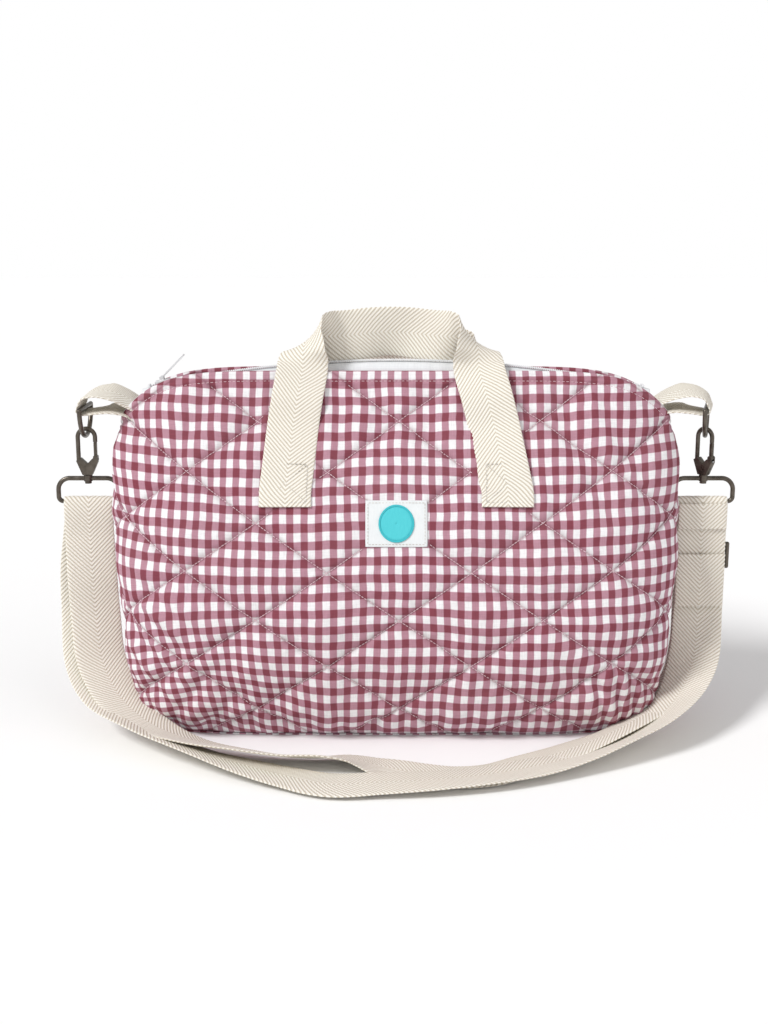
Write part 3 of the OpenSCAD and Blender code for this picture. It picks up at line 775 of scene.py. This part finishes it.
def hem_thread(wall, name):
    """The topstitched row under the top edge."""
    u = np.linspace(-0.95, 0.95, 900) * np.abs(wall.places[-1, 0, 0])
    x = np.interp(u, wall.places[-1, :, 0], wall.points[-1, :, 0])
    points, normals = wall.lay(u, top_z(x) - HEM_STITCH, 0.1)
    return sew(name, [stitches(points, normals, 3.3, thickness=0.24)], PINK_THREAD)


front = Wall(FRONT_GATHERS, FRONT_SLANT, seed=11, side=1, has_label=True)
back = Wall(BACK_GATHERS, BACK_SLANT, seed=47, side=-1, has_label=False)


def add_to(obj, slot_name, *nodes, body="bag"):
    """Rides a piece on a body and hides the CAD nodes that it stands for. The slot name of its
    finish is not used.
    """
    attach(obj, body)
    if nodes:
        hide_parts(*nodes)


for wall, side in ((front, "front"), (back, "back")):
    add_to(wall.cloth(side + "_cloth"), "gingham", side + "_panel")
    add_to(wall.padding(side + "_padding", 1.9, 7.4, 1.0, 0.03, 0.95, WADDING),
           "wadding", side + "_wadding")
    add_to(wall.padding(side + "_inner_cloth", 7.6, 8.4, 0.0, 0.03, 0.95, LINING),
           "lining", side + "_lining")
    add_to(quilting_thread(wall, side + "_quilting_thread"), "gingham")
    add_to(hem_thread(wall, side + "_hem_thread"), "gingham")
add_to(base_plate("base_cloth", 0.0, 0.0, 1.0, GINGHAM), "gingham", "base_panel")
add_to(base_plate("base_padding", 1.5, 1.5, 4.6, WADDING), "wadding", "base_wadding")
add_to(base_plate("base_inner_cloth", 5.0, 5.0, 5.8, LINING), "lining", "base_lining")


# --- Webbing ---

WEB_STEP = 0.6
RIB_RISE, SCALLOP = 0.15, 0.16
ACROSS_SHARES = np.array([0, 0.12, 0.24, 0.36, 0.48, 0.6, 0.72, 0.83, 0.91, 0.96, 0.985, 1])
ACROSS_SHARES = np.concatenate([-ACROSS_SHARES[:0:-1], ACROSS_SHARES])


def ribbon_rows(stations, closed=False):
    """Evenly spaced middle points, across directions and lengths of a band of webbing."""
    rows = np.array(stations, float)
    if closed:
        rows = np.concatenate([rows[-3:], rows, rows[:3]])
    chord = lengths_along(rows[:, :3])
    low, high = (chord[3], chord[-3]) if closed else (0, chord[-1])
    dense = np.linspace(low, high, 6000)
    curve = smooth_curve(np.column_stack([chord, rows]), dense)
    length = lengths_along(curve[:, :3])
    at = np.linspace(0, length[-1], int(length[-1] / WEB_STEP) + 1)
    even = between_rows(at, length, curve)
    if closed:
        even, at = even[:-1], at[:-1]
    return even[:, :3], even[:, 3:], at


def ribbon(name, stations, closed=False, width=WEB_W, flip_ribs=False):
    """A band of herringbone webbing. Each station is a point and the direction across."""
    centre, across, along = ribbon_rows(stations, closed)
    ring_ahead = np.roll(centre, -1, axis=0) - np.roll(centre, 1, axis=0)
    tangent = unit(ring_ahead if closed else np.gradient(centre, axis=0))
    normal = unit(np.cross(tangent, across))
    across = np.cross(normal, tangent)
    share = ACROSS_SHARES[None, :]
    along_rib = -along if flip_ribs else along
    scallop = SCALLOP * np.sin(2 * math.pi * along / RIB_PITCH)[:, None] * np.abs(share)**12
    u = share * width / 2 + scallop * np.sign(share)
    rib = np.sin(2 * math.pi * (along_rib[:, None] - RIB_SLOPE * np.abs(u)) / RIB_PITCH)
    edge = np.sqrt(np.maximum(1 - np.abs(share)**10, 0.0))
    half = (WEB_T / 2 - RIB_RISE) * (0.12 + 0.88 * edge) + RIB_RISE * rib * edge
    middle = centre[:, None] + across[:, None] * u[..., None]
    out = normal[:, None] * half[..., None]
    ring = np.concatenate([middle + out, (middle - out)[:, ::-1]], axis=1)
    count, sides = ring.shape[:2]
    places = np.stack(np.broadcast_arrays(u, along_rib[:, None]), -1)
    uv = np.concatenate([places, places[:, ::-1]], axis=1)
    faces = ring_faces(count, sides, closed)
    if not closed:
        half_ring = sides // 2
        for i, turn in ((0, 1), (count - 1, -1)):
            for k in range(half_ring - 1):
                quad = [i * sides + k, i * sides + sides - 1 - k,
                        i * sides + sides - 2 - k, i * sides + k + 1]
                faces.append(quad[::turn])
    return mesh_object(name, ring.reshape(-1, 3), faces, uv.reshape(-1, 2), WEBBING)


def mirrored(stations):
    """A left half's stations as the right half's, from the middle outward."""
    return [[-x, y, z, -wx, wy, wz] for x, y, z, wx, wy, wz in stations[::-1]]


def leg_stations(wall, side, lean):
    """Stations of a handle's leg on one side, seen as a left one, where it lies on the cloth."""
    rows = []
    for z in LEG_HEIGHTS:
        point, _ = wall.lay(side * (LEG_X - lean * max(0, z - LEAN_FROM_Z)), z, LEG_LIFT)
        tilt = -lean * ramp(z, LEAN_FROM_Z, LEAN_FROM_Z + 17)
        rows.append([-abs(point[0]), *point[1:].tolist(), 1, 0, tilt])
    return rows


def half_handle(wall, side, lean, low, start, radius):
    """A left leg that rises and folds back over a slanting crease to run inward.

    low is a station between the cloth and the fold; start is where the fold begins."""
    rows = leg_stations(wall, side, lean) + [[*low, 1, 0, -lean]]
    for turn in np.radians((0, 45, 90, 135, 180)):
        c, s = math.cos(turn), math.sin(turn)
        place = (np.array(start) + CREASE * 0.9 * radius * turn
                 + radius * (s * CREASE_OUT + np.array([0, 1 - c, 0])))
        across = CREASE[0] * CREASE - CREASE[2] * (c * CREASE_OUT + np.array([0, s, 0]))
        rows.append([*place.tolist(), *across.tolist()])
    return rows


def handle(body, wall, left, top, right):
    """A handle from its sewn ends up, built through the given stations; the CAD handle and its ends
    are hidden.
    """
    obj = ribbon(body + "_webbing", left + [top] + mirrored(right))
    y = wall.lay(LEG_X, FOLD_Z, 0)[0][1]
    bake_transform(obj)
    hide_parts(body, body + "_ends")


def sewn_path(wall, corners, middle, lift, count, spacing, thickness):
    """Rows of stitches from corner to corner round a middle, lifted off the cloth."""
    t = np.linspace(0, 1, count)
    for (x0, z0), (x1, z1) in zip(corners, corners[1:]):
        x, z = middle[0] + x0 + (x1 - x0) * t, middle[1] + z0 + (z1 - z0) * t
        yield stitches(*wall.lay(x, z, lift), spacing, thickness)


def leg_thread(name, wall):
    """A sewn box with a cross at the foot of both legs."""
    side, low, high = WEB_W / 2 - 3.5, LEG_LOW_Z + 3, LEG_SEWN_Z - 2
    corners = [(-side, low), (side, low), (side, high), (-side, high), (-side, low),
               (side, high), (-side, high), (side, low)]
    rows = [row for leg in (-LEG_X, LEG_X)
            for row in sewn_path(wall, corners, (leg, 0), 2.02, 40, 2.9, 0.28)]
    return sew(name, rows, WHITE_THREAD)


handle("front_handle", front,
       half_handle(front, -1, FRONT_LEANS[0], (-73, -31, 254), (-69.5, -17, 276), 10),
       [-4, 13, 297.5, 0, -0.12, 0.99],
       half_handle(front, 1, FRONT_LEANS[1], (-67, -31, 254), (-61.5, -17, 276), 10))
handle("back_handle", back,
       half_handle(back, -1, BACK_LEANS[0], (-76.5, 36, 248), (-75, 40, 259), 9),
       [0, 66, 281, 0, -0.2, 0.98],
       half_handle(back, 1, BACK_LEANS[1], (-76.5, 36, 248), (-75, 40, 259), 9))
add_to(leg_thread("front_handle_thread", front), "webbing")
add_to(leg_thread("back_handle_thread", back), "webbing")

# Tabs that hold the D-rings: webbing folded round the ring's bar
TAB_FOLD_R = EYE_BAR_R + 0.35 + WEB_T / 2
# (distance inward from the bar, height above the bar, tilt)
TAB_ABOVE = [(47, -6, 0.12), (39, 1, 0.16), (30, 7, 0.2), (20, 11.5, 0.18), (9, 12, 0.1),
             (0.5, 8.2, 0.02)]
TAB_BELOW = [(9, -2.6, 0), (20, -1.6, 0.04), (32, -4, 0.08), (44, -10, 0.1)]


def tab(name, side, turn, node):
    path = TAB_ABOVE + [(TAB_FOLD_R * math.cos(b), TAB_FOLD_R * math.sin(b), 0)
                        for b in np.radians(np.linspace(145, 265, 6))] + TAB_BELOW
    t = math.radians(turn)
    rows = []
    for inward, up, tilt in path:
        x, y = side * (RING_X - inward * math.cos(t)), -side * inward * math.sin(t)
        rows.append([x, y + 7 * ramp(inward, 14, 40), BAR_Z + up, -math.sin(t), math.cos(t), tilt])
    add_to(ribbon(name, rows, width=WEB_W - 1), "webbing", node)


tab("left_tab_webbing", -1, 0, "left_tab")
tab("right_tab_webbing", 1, RIGHT_RING_TURN, "right_tab")

# Strap: one ring of webbing. Each station is a point and the direction across.
LOOP_R = EYE_BAR_R + 0.4 + WEB_T / 2


def eye_loop(side):
    """The ring's turn over the lower bar of an eye, from its back layer to its front one."""
    turns = np.radians(np.linspace(0, 180, 7))
    return [[side * RING_X, LOOP_R * math.cos(t), EYE_LOW_Z + LOOP_R * math.sin(t),
             -side, 0, 0] for t in turns]


LEFT_FRONT_DOWN = [
    [-237, -3.6, 140, 1, 0, 0], [-236, -5.5, 110, 0.98, 0.1, 0], [-234, -9, 78, 0.95, 0.22, 0.03],
    [-229, -22, 50, 0.9, 0.4, 0.06], [-213, -49, 30, 0.78, 0.6, 0.06],
    [-185, -81, 18, 0.6, 0.78, -0.08], [-148, -105, 12.5, 0.4, 0.87, -0.3],
    [-112, -118, 11, 0.34, 0.86, -0.38], [-80, -124.5, 9, 0.2, 0.9, -0.4],
    [-50, -126, 8.6, 0.05, 0.92, -0.39], [-30, -124, 5.6, 0.02, 0.97, -0.22],
    [-12, -128, 2.2, 0, 1, -0.05], [12, -138, 1.5, -0.02, 1, 0], [40, -145, 1.4, -0.08, 1, 0],
    [66, -141, 1.6, -0.25, 0.96, -0.02]
]
RIGHT_BACK_UP = [
    [92, -124, 2.6, -0.4, 0.9, -0.1], [130, -104, 6.5, -0.52, 0.82, -0.2],
    [165, -84, 13, -0.64, 0.68, -0.34], [197, -58, 22, -0.76, 0.56, -0.3],
    [222, -34, 36, -0.9, 0.36, -0.16], [234, -10, 56, -0.98, 0.16, -0.05],
    [237, 3.2, 82, -1, 0, 0], [237, 3.4, 112, -1, 0, 0], [237, 3.2, 142, -1, 0, 0]
]
RIGHT_FRONT_DOWN = [
    [237, -3.2, 142, 1, 0, 0], [237, -3.6, 110, 1, 0, 0], [237, -4.2, 78, 1, 0, 0],
    [232, -22, 52, 0.98, -0.18, 0.05], [218, -51, 34, 0.86, -0.48, 0.2],
    [192, -84, 21, 0.7, -0.66, 0.34], [165, -104, 13, 0.62, -0.66, 0.4],
    [136, -120, 8.5, 0.5, -0.84, 0.26], [102, -136, 6.2, 0.34, -0.94, 0.1],
    [61, -152, 5.6, 0.26, -0.95, 0.1], [22, -160, 5.2, 0.1, -0.98, 0.06]
]
LEFT_BACK_UP = [
    [-12, -162, 4.4, 0, -1, 0], [-45, -163, 3.4, -0.16, -0.98, -0.02],
    [-76, -150, 3.6, -0.46, -0.88, 0.06], [-106, -137, 6, -0.52, -0.83, 0.17],
    [-142, -120, 10.5, -0.62, -0.7, 0.34], [-186, -89, 17, -0.68, -0.64, 0.3],
    [-221, -52, 28, -0.88, -0.46, 0.06], [-239, -18, 48, -0.98, -0.14, 0],
    [-244, 1, 78, -0.99, 0, 0], [-244, 4.4, 112, -1, 0, 0], [-240, 4, 142, -1, 0, 0]
]
# Sewn end of the loop over the right eye and the free end below the slider, over the strap
LOOP_END = [[237, -5.6, z, 1, 0, 0] for z in np.linspace(EYE_LOW_Z - 1, EYE_LOW_Z - 21, 4)]
TAIL = [[237, -5.8, z, 1, 0, 0] for z in (127, 113, 99, 85)]


def flipped(rows):
    return [[*r[:3], -r[3], -r[4], -r[5]] for r in rows]


def strap_stations():
    rows = eye_loop(-1) + LEFT_FRONT_DOWN + RIGHT_BACK_UP
    return rows + eye_loop(1) + flipped(RIGHT_FRONT_DOWN) + flipped(LEFT_BACK_UP)


add_to(ribbon("strap_webbing", strap_stations(), closed=True, flip_ribs=True),
       "webbing", "strap", body="strap")
for name, rows in (("strap_loop_end", LOOP_END), ("strap_tail", TAIL)):
    add_to(ribbon(name, rows, width=WEB_W - 0.6, flip_ribs=True), "webbing", body="strap")


# --- Zip ---

def arc_point(turn, rise):
    """Point at a turn in degrees from the top of the zip's arc, raised along its radius."""
    t = np.radians(turn)
    return np.stack([(ZIP_R + rise) * np.sin(t), 0 * t, ARC_Z + (ZIP_R + rise) * np.cos(t)], -1)


TAPE_PROFILE = [(0.35, 0), (2, 0.05), (4.2, 0), (7, -0.7), (9.5, -2.4), (11.5, -5), (12, -8)]
TAPE_T = 0.6


def zip_tape(name, side):
    """A woven tape from the teeth down to the inside of the hem."""
    turns = np.linspace(-END_TURN - 0.3, END_TURN + 0.3, 300)
    spread = np.array([p[0] for p in TAPE_PROFILE])
    even = np.linspace(spread[0], spread[-1], 22)
    drop = np.interp(even, spread, [p[1] for p in TAPE_PROFILE])
    grid = np.zeros((len(turns), len(even), 3))
    narrow = 1 - 0.45 * ramp(np.abs(turns), END_TURN * 0.82, END_TURN)
    for k, (y, z) in enumerate(zip(even, drop)):
        ripple = 0.25 * np.sin(turns * 9.0 + side) * (k / len(even))
        grid[:, k] = arc_point(turns, z + ripple)
        grid[:, k, 1] = -side * (spread[0] + (y - spread[0]) * narrow)
    lower = grid.copy()
    lower[..., 2] -= TAPE_T
    length = np.radians(turns) * ZIP_R
    uv = np.stack(np.broadcast_arrays(length[:, None], even[None, :]), -1)
    pair = (lower, grid) if side > 0 else (grid, lower)
    return closed_sheet(name, *pair, uv, ZIP_TAPE)


TOOTH_PITCH = 1.45


def zip_teeth(name, side):
    """The coil's turns, each a small bead that reaches to the middle."""
    pitch = math.degrees(TOOTH_PITCH / ZIP_R)
    turns = np.arange(-END_TURN + 0.22, END_TURN - 0.2, pitch) + (pitch / 2 if side > 0 else 0)
    template, faces = bead([0, 0.08, 0.3, 0.8, 0.96, 1],
                           [(0.2, 0.2), (0.8, 0.8), (1, 1), (1, 1), (0.75, 0.8), (0.2, 0.3)], 8)
    origin = arc_point(turns, TAPE_T + 0.75)
    origin[:, 1] = -side * 0.25
    out = np.tile([0, -side * 3.1, 0], (len(turns), 1)).astype(float)
    t = np.radians(turns)
    along = np.column_stack([np.cos(t), 0 * t, -np.sin(t)]) * 0.56 * side
    up = np.column_stack([np.sin(t), 0 * t, np.cos(t)]) * 0.8
    return place_all(name, template, faces, origin, out, along, up, ZIP_TEETH)


for side, name in ((1, "front"), (-1, "back")):
    add_to(zip_tape(name + "_zip_cloth", side), "zip_tape", name + "_zip_tape")
    add_to(zip_teeth(name + "_zip_teeth", side), "zip_teeth", name + "_zip_coil")


def zip_end(name, side):
    """Cloth that closes the opening between the end of the zip and the side seam."""
    edge = front.points[-1]
    x = np.linspace(ZIP_HALF - 3, np.abs(edge[:, 0]).max() - 2, 26)
    order = np.argsort(edge[:, 0])
    reach = -np.interp(x, edge[order, 0], edge[order, 1]) - 1.0
    share = np.linspace(-1, 1, 21)
    top = np.zeros((len(x), len(share), 3))
    top[..., 0] = side * x[:, None]
    top[..., 1] = side * share * reach[:, None]
    top[..., 2] = (top_z(x) + 1.2)[:, None] + 0.8 * (1 - share**2) + 0.3 * soft_noise(
        x[:, None] * 1.0, share * 20, 6, 91)
    low = top - np.array([0, 0, 1.6])
    uv = np.stack(np.broadcast_arrays(x[:, None], share * 12), -1)
    made = closed_sheet(name, low, top, uv, ZIP_TAPE)
    add_to(made, "zip_tape")


zip_end("left_zip_end", -1)
zip_end("right_zip_end", 1)


# --- Label ---

def label_patch():
    half_w, half_h = LABEL_W / 2, LABEL_H / 2
    gx, gz = np.meshgrid(np.linspace(-half_w, half_w, 60), np.linspace(-half_h, half_h, 44))
    round_share = 1 - 0.012 * (np.abs(gx) / half_w)**6 * (np.abs(gz) / half_h)**6
    gx, gz = gx * round_share, gz * round_share
    ripple = 0.25 * soft_noise(gx, gz, 7, 5)
    edge = np.maximum((np.abs(gx) / half_w)**8, (np.abs(gz) / half_h)**8)
    top, _ = front.lay(gx, LABEL_Z + gz, 1.15 + ripple - 0.35 * edge)
    low, _ = front.lay(gx, LABEL_Z + gz, 0.12)
    return closed_sheet("label_patch_cloth", top, low, np.stack([gx, gz], -1), LABEL_CLOTH)


def label_thread():
    side, high = LABEL_W / 2 - 1.8, LABEL_H / 2 - 1.8
    corners = [(-side, -high), (side, -high), (side, high), (-side, high), (-side, -high)]
    rows = sewn_path(front, corners, (0, LABEL_Z), 1.1, 60, 2.4, 0.24)
    return sew("label_thread", rows, WHITE_THREAD)


def badge(name, radius, inner, lift, height, ridges, material):
    """A round patch, or a ring, laid on the label. Ridges run outward like satin stitches."""
    sides, rings = 240, 16
    gr, gt = np.meshgrid(np.linspace(inner, radius, rings),
                         np.linspace(0, 2 * math.pi, sides, endpoint=False), indexing="ij")
    crown = np.sqrt(np.clip(1 - ((gr - inner) / (radius - inner) * 2 - 1)**8, 0, 1))
    wave = 0.06 * np.sin(gt * ridges) * crown if ridges else 0.05 * soft_noise(gr * 3, gt * 9, 2, 3)
    x, z = gr * np.cos(gt), gr * np.sin(gt)
    top, _ = front.lay(x, LABEL_Z + z, lift + height * crown + wave)
    low, _ = front.lay(x, LABEL_Z + z, lift - 0.05)
    points = np.concatenate([top.reshape(-1, 3), low.reshape(-1, 3)])
    count = rings * sides
    last = count - sides
    over = np.array(ring_faces(rings, sides))
    faces = over[:, ::-1].tolist() + (over + count).tolist()
    for k in range(sides):
        n = (k + 1) % sides
        faces.append([last + n, last + k, last + k + count, last + n + count])
        faces.append([k, n, n + count, k + count])
    uv = np.concatenate([np.stack([x, z], -1).reshape(-1, 2)] * 2)
    return mesh_object(name, points, faces, uv, material)


add_to(label_patch(), "label_cloth", "label_patch")
add_to(label_thread(), "label_cloth")
add_to(badge("badge_cloth", BADGE_D / 2 - 1.2, 0.05, 1.3, 0.35, 0, BADGE),
       "badge", "label_badge")
add_to(badge("badge_rim", BADGE_D / 2, BADGE_D / 2 - 1.5, 1.3, 0.6, 90, BADGE_RIM), "badge")


# --- Metal from the frame ---

METAL_NODES = {
    NICKEL: ["tri_glide"] + [side + part for side in ("left_", "right_")
                             for part in ("d_ring", "hook", "gate", "gate_pin", "swivel_eye")],
    STEEL: ("left_gate_spring", "right_gate_spring"),
    ZIP_METAL: ("zip_slider", "zip_pull"),
    ZIP_TEETH: ("zip_stops",)
}
BEVELS = {"left_hook": 0.7, "right_hook": 0.7, "zip_pull": 0.35, "zip_slider": 0.25,
          "left_gate": 0.4, "right_gate": 0.4, "zip_stops": 0.3}


def dress(name, material):
    """Gives a CAD part its material, soft edges and smooth shading."""
    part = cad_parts[name]
    part.data.materials.clear()
    part.data.materials.append(material)
    shade_smooth(part.data)
    weld = part.modifiers.new("weld", "WELD")
    weld.merge_threshold = 1e-6
    if name in BEVELS:
        bevel = part.modifiers.new("bevel", "BEVEL")
        bevel.width, bevel.segments = BEVELS[name] * MM, 3
        bevel.limit_method, bevel.angle_limit = "ANGLE", math.radians(40)
    split = part.modifiers.new("split", "EDGE_SPLIT")
    split.split_angle = math.radians(38)


for material, names in METAL_NODES.items():
    for name in names:
        dress(name, material)


# --- Stage ---

def floor():
    half = 6000
    points = np.array([[-half, -half, -0.3], [half, -half, -0.3], [half, half, -0.3],
                       [-half, half, -0.3]], float)
    paint = Paint("floor", roughness=1.0)
    paint.finish((0.94, 0.94, 0.94))
    made = mesh_object("floor", points, [[0, 1, 2, 3]], points[:, :2], paint.material)


def sun(name, place, strength, spread, tint=(1, 1, 1)):
    """Even light from the direction of a place; spread is the width of the source in degrees."""
    data = bpy.data.lights.new(name, "SUN")
    data.energy = strength
    data.angle = math.radians(spread)
    data.color = tint
    lamp = new_object(name, data)
    lamp.location = place
    lamp.rotation_mode = "QUATERNION"
    lamp.rotation_quaternion = (-Vector(place)).to_track_quat("-Z", "Y")


def sky(seen, given):
    """A white studio. The wall that is seen may be brighter than the light that it gives."""
    world = bpy.data.worlds.new("studio")
    world.use_nodes = True
    tree = world.node_tree
    background = tree.nodes["Background"]
    background.inputs[0].default_value = (1, 1, 1, 1)
    ray = tree.nodes.new("ShaderNodeLightPath")
    level = tree.nodes.new("ShaderNodeMapRange")
    level.inputs["To Min"].default_value = given
    level.inputs["To Max"].default_value = seen
    tree.links.new(ray.outputs["Is Camera Ray"], level.inputs["Value"])
    tree.links.new(level.outputs["Result"], background.inputs[1])
    bpy.context.scene.world = world


def camera():
    data = bpy.data.cameras.new("camera")
    data.lens = 50.06
    data.sensor_width = 36
    made = new_object("camera", data)
    made.location = (-0.009, -1.077, 0.400)
    made.rotation_euler = (math.radians(90 - 12.6), 0, 0)
    bpy.context.scene.camera = made


floor()
sun("key", (-1.7, -1.2, 1.9), 2.3, 16)
sun("fill", (1.6, -1.0, 1.0), 0.5, 60, (1, 0.93, 0.94))
sky(seen=1.0, given=0.52)
camera()
bpy.context.scene.view_settings.view_transform = "Standard"
